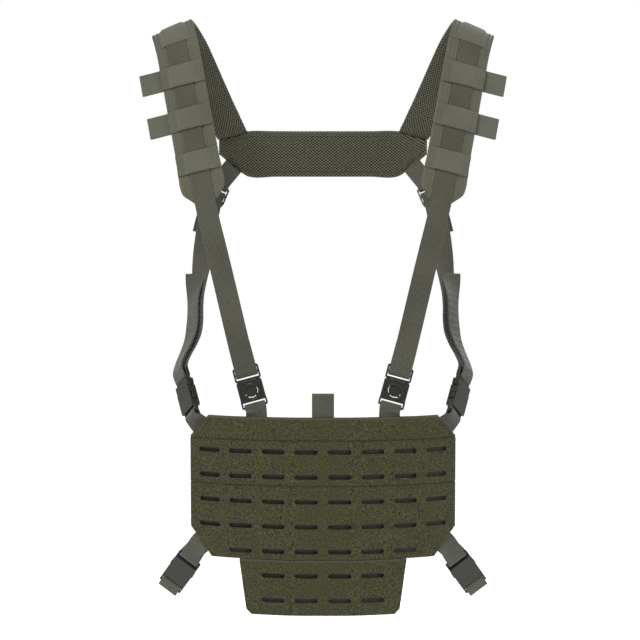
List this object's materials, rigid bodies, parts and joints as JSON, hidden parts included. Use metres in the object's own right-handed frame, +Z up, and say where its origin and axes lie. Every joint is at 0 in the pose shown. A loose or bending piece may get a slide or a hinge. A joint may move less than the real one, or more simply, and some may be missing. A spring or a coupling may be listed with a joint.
{
  "type": "chest rig with shoulder harness",
  "caption": "Slotted chest panel with a fold-up flap, hung by clips and webbing from two padded shoulder straps that are joined by a yoke.",
  "frame": {"origin": "midway between the undersides of the two shoulder pads at the tops of the shoulders", "axes": "+Z up, -Y to the front of the wearer, +X to the viewer's right"},
  "size_m": [0.4362, 0.2662, 0.6888],
  "materials": {
    "nylon": "woven nylon",
    "webbing": "ribbed webbing",
    "spacer_mesh": "open knitted mesh",
    "loop_face": "napped loop fabric",
    "backing": "smooth coated fabric",
    "plastic": "moulded, satin"
  },
  "bodies": {
    "rig": {"bottom_clip_left_socket": "plastic", "bottom_clip_right_socket": "plastic", "bottom_loop_left": "webbing", "bottom_loop_right": "webbing", "cross_band_left_1": "webbing", "cross_band_left_2": "webbing", "cross_band_left_3": "webbing", "cross_band_left_4": "webbing", "cross_band_right_1": "webbing", "cross_band_right_2": "webbing", "cross_band_right_3": "webbing", "cross_band_right_4": "webbing", "front_clip_left_housing": "plastic", "front_clip_right_housing": "plastic", "front_loop_left": "webbing", "front_loop_right": "webbing", "front_strap_left": "webbing", "front_strap_right": "webbing", "ladder_lock_left": "plastic", "ladder_lock_right": "plastic", "lock_loop_left": "webbing", "lock_loop_right": "webbing", "pad_cover_left": "nylon", "pad_cover_right": "nylon", "pad_mesh_left": "spacer_mesh", "pad_mesh_right": "spacer_mesh", "panel_back": "backing", "panel_front": "loop_face", "pull_tab": "webbing", "rear_strap_left": "webbing", "rear_strap_right": "webbing", "side_tab_left_lower": "webbing", "side_tab_left_upper": "webbing", "side_tab_right_lower": "webbing", "side_tab_right_upper": "webbing", "top_clip_left_socket": "plastic", "top_clip_right_socket": "plastic", "top_loop_left": "webbing", "top_loop_right": "webbing", "waist_strap": "webbing", "yoke_cover": "nylon", "yoke_mesh": "spacer_mesh"},
    "top_plug_left": {"top_clip_left_plug": "plastic"},
    "top_arm_a_left": {"top_clip_left_arm_a": "plastic"},
    "top_arm_b_left": {"top_clip_left_arm_b": "plastic"},
    "bottom_plug_left": {"bottom_clip_left_plug": "plastic"},
    "bottom_arm_a_left": {"bottom_clip_left_arm_a": "plastic"},
    "bottom_arm_b_left": {"bottom_clip_left_arm_b": "plastic"},
    "front_ladder_left": {"front_clip_left_ladder": "plastic"},
    "front_button_left": {"front_clip_left_button": "plastic"},
    "top_plug_right": {"top_clip_right_plug": "plastic"},
    "top_arm_a_right": {"top_clip_right_arm_a": "plastic"},
    "top_arm_b_right": {"top_clip_right_arm_b": "plastic"},
    "bottom_plug_right": {"bottom_clip_right_plug": "plastic"},
    "bottom_arm_a_right": {"bottom_clip_right_arm_a": "plastic"},
    "bottom_arm_b_right": {"bottom_clip_right_arm_b": "plastic"},
    "front_ladder_right": {"front_clip_right_ladder": "plastic"},
    "front_button_right": {"front_clip_right_button": "plastic"},
    "flap": {"flap_front": "loop_face", "flap_back": "backing"}
  },
  "joints": [
    {"name": "top_clip_left_release", "type": "slide", "parent": "rig", "child": "top_plug_left", "axis": [-0.2706, 0.5012, 0.8219], "range_m": [0, 0.024], "deforming": ["top_clip_left_arm_a", "top_clip_left_arm_b", "rear_strap_left"]},
    {"name": "top_clip_left_squeeze_a", "type": "hinge", "parent": "top_plug_left", "child": "top_arm_a_left", "pos_m": [-0.16338, -0.09315, -0.42057], "axis": [-0.8492, -0.5265, 0.0414], "range_deg": [0, 12], "stiffness_Nm_per_rad": 0.3},
    {"name": "top_clip_left_squeeze_b", "type": "hinge", "parent": "top_plug_left", "child": "top_arm_b_left", "pos_m": [-0.15431, -0.10689, -0.40921], "axis": [0.8492, 0.5265, -0.0414], "range_deg": [0, 12], "stiffness_Nm_per_rad": 0.3},
    {"name": "bottom_clip_left_release", "type": "slide", "parent": "rig", "child": "bottom_plug_left", "axis": [-0.4686, 0.5284, -0.7079], "range_m": [0, 0.024], "deforming": ["bottom_clip_left_arm_a", "bottom_clip_left_arm_b", "waist_strap"]},
    {"name": "bottom_clip_left_squeeze_a", "type": "hinge", "parent": "bottom_plug_left", "child": "bottom_arm_a_left", "pos_m": [-0.16231, -0.08716, -0.64045], "axis": [-0.3692, -0.8452, -0.3865], "range_deg": [0, 12], "stiffness_Nm_per_rad": 0.3},
    {"name": "bottom_clip_left_squeeze_b", "type": "hinge", "parent": "bottom_plug_left", "child": "bottom_arm_b_left", "pos_m": [-0.17836, -0.08556, -0.62863], "axis": [0.3692, 0.8452, 0.3865], "range_deg": [0, 12], "stiffness_Nm_per_rad": 0.3},
    {"name": "front_clip_left_release", "type": "slide", "parent": "rig", "child": "front_ladder_left", "axis": [-0.2606, 0.1603, 0.952], "range_m": [0, 0.022], "deforming": ["front_strap_left", "front_clip_left_button"]},
    {"name": "front_clip_left_press", "type": "hinge", "parent": "front_ladder_left", "child": "front_button_left", "pos_m": [-0.08453, -0.13539, -0.39987], "axis": [0.9645, 0, 0.264], "range_deg": [0, 8], "stiffness_Nm_per_rad": 0.2},
    {"name": "top_clip_right_release", "type": "slide", "parent": "rig", "child": "top_plug_right", "axis": [0.2706, 0.5012, 0.8219], "range_m": [0, 0.024], "deforming": ["top_clip_right_arm_a", "top_clip_right_arm_b", "rear_strap_right"]},
    {"name": "top_clip_right_squeeze_a", "type": "hinge", "parent": "top_plug_right", "child": "top_arm_a_right", "pos_m": [0.15431, -0.10689, -0.40921], "axis": [0.8492, -0.5265, 0.0414], "range_deg": [0, 12], "stiffness_Nm_per_rad": 0.3},
    {"name": "top_clip_right_squeeze_b", "type": "hinge", "parent": "top_plug_right", "child": "top_arm_b_right", "pos_m": [0.16338, -0.09315, -0.42057], "axis": [-0.8492, 0.5265, -0.0414], "range_deg": [0, 12], "stiffness_Nm_per_rad": 0.3},
    {"name": "bottom_clip_right_release", "type": "slide", "parent": "rig", "child": "bottom_plug_right", "axis": [0.4686, 0.5284, -0.7079], "range_m": [0, 0.024], "deforming": ["bottom_clip_right_arm_a", "bottom_clip_right_arm_b", "waist_strap"]},
    {"name": "bottom_clip_right_squeeze_a", "type": "hinge", "parent": "bottom_plug_right", "child": "bottom_arm_a_right", "pos_m": [0.17836, -0.08556, -0.62863], "axis": [0.3692, -0.8452, -0.3865], "range_deg": [0, 12], "stiffness_Nm_per_rad": 0.3},
    {"name": "bottom_clip_right_squeeze_b", "type": "hinge", "parent": "bottom_plug_right", "child": "bottom_arm_b_right", "pos_m": [0.16231, -0.08716, -0.64045], "axis": [-0.3692, 0.8452, 0.3865], "range_deg": [0, 12], "stiffness_Nm_per_rad": 0.3},
    {"name": "front_clip_right_release", "type": "slide", "parent": "rig", "child": "front_ladder_right", "axis": [0.2606, 0.1603, 0.952], "range_m": [0, 0.022], "deforming": ["front_strap_right", "front_clip_right_button"]},
    {"name": "front_clip_right_press", "type": "hinge", "parent": "front_ladder_right", "child": "front_button_right", "pos_m": [0.08453, -0.13539, -0.39987], "axis": [0.9645, 0, -0.264], "range_deg": [0, 8], "stiffness_Nm_per_rad": 0.2},
    {"name": "flap_fold", "type": "hinge", "parent": "rig", "child": "flap", "pos_m": [0, -0.15, -0.60415], "axis": [-1, 0, 0], "range_deg": [0, 90]}
  ],
  "couplings": [
    {"joint": "top_clip_left_squeeze_b", "follows": "top_clip_left_squeeze_a", "ratio": 1},
    {"joint": "bottom_clip_left_squeeze_b", "follows": "bottom_clip_left_squeeze_a", "ratio": 1},
    {"joint": "top_clip_right_squeeze_b", "follows": "top_clip_right_squeeze_a", "ratio": 1},
    {"joint": "bottom_clip_right_squeeze_b", "follows": "bottom_clip_right_squeeze_a", "ratio": 1}
  ]
}
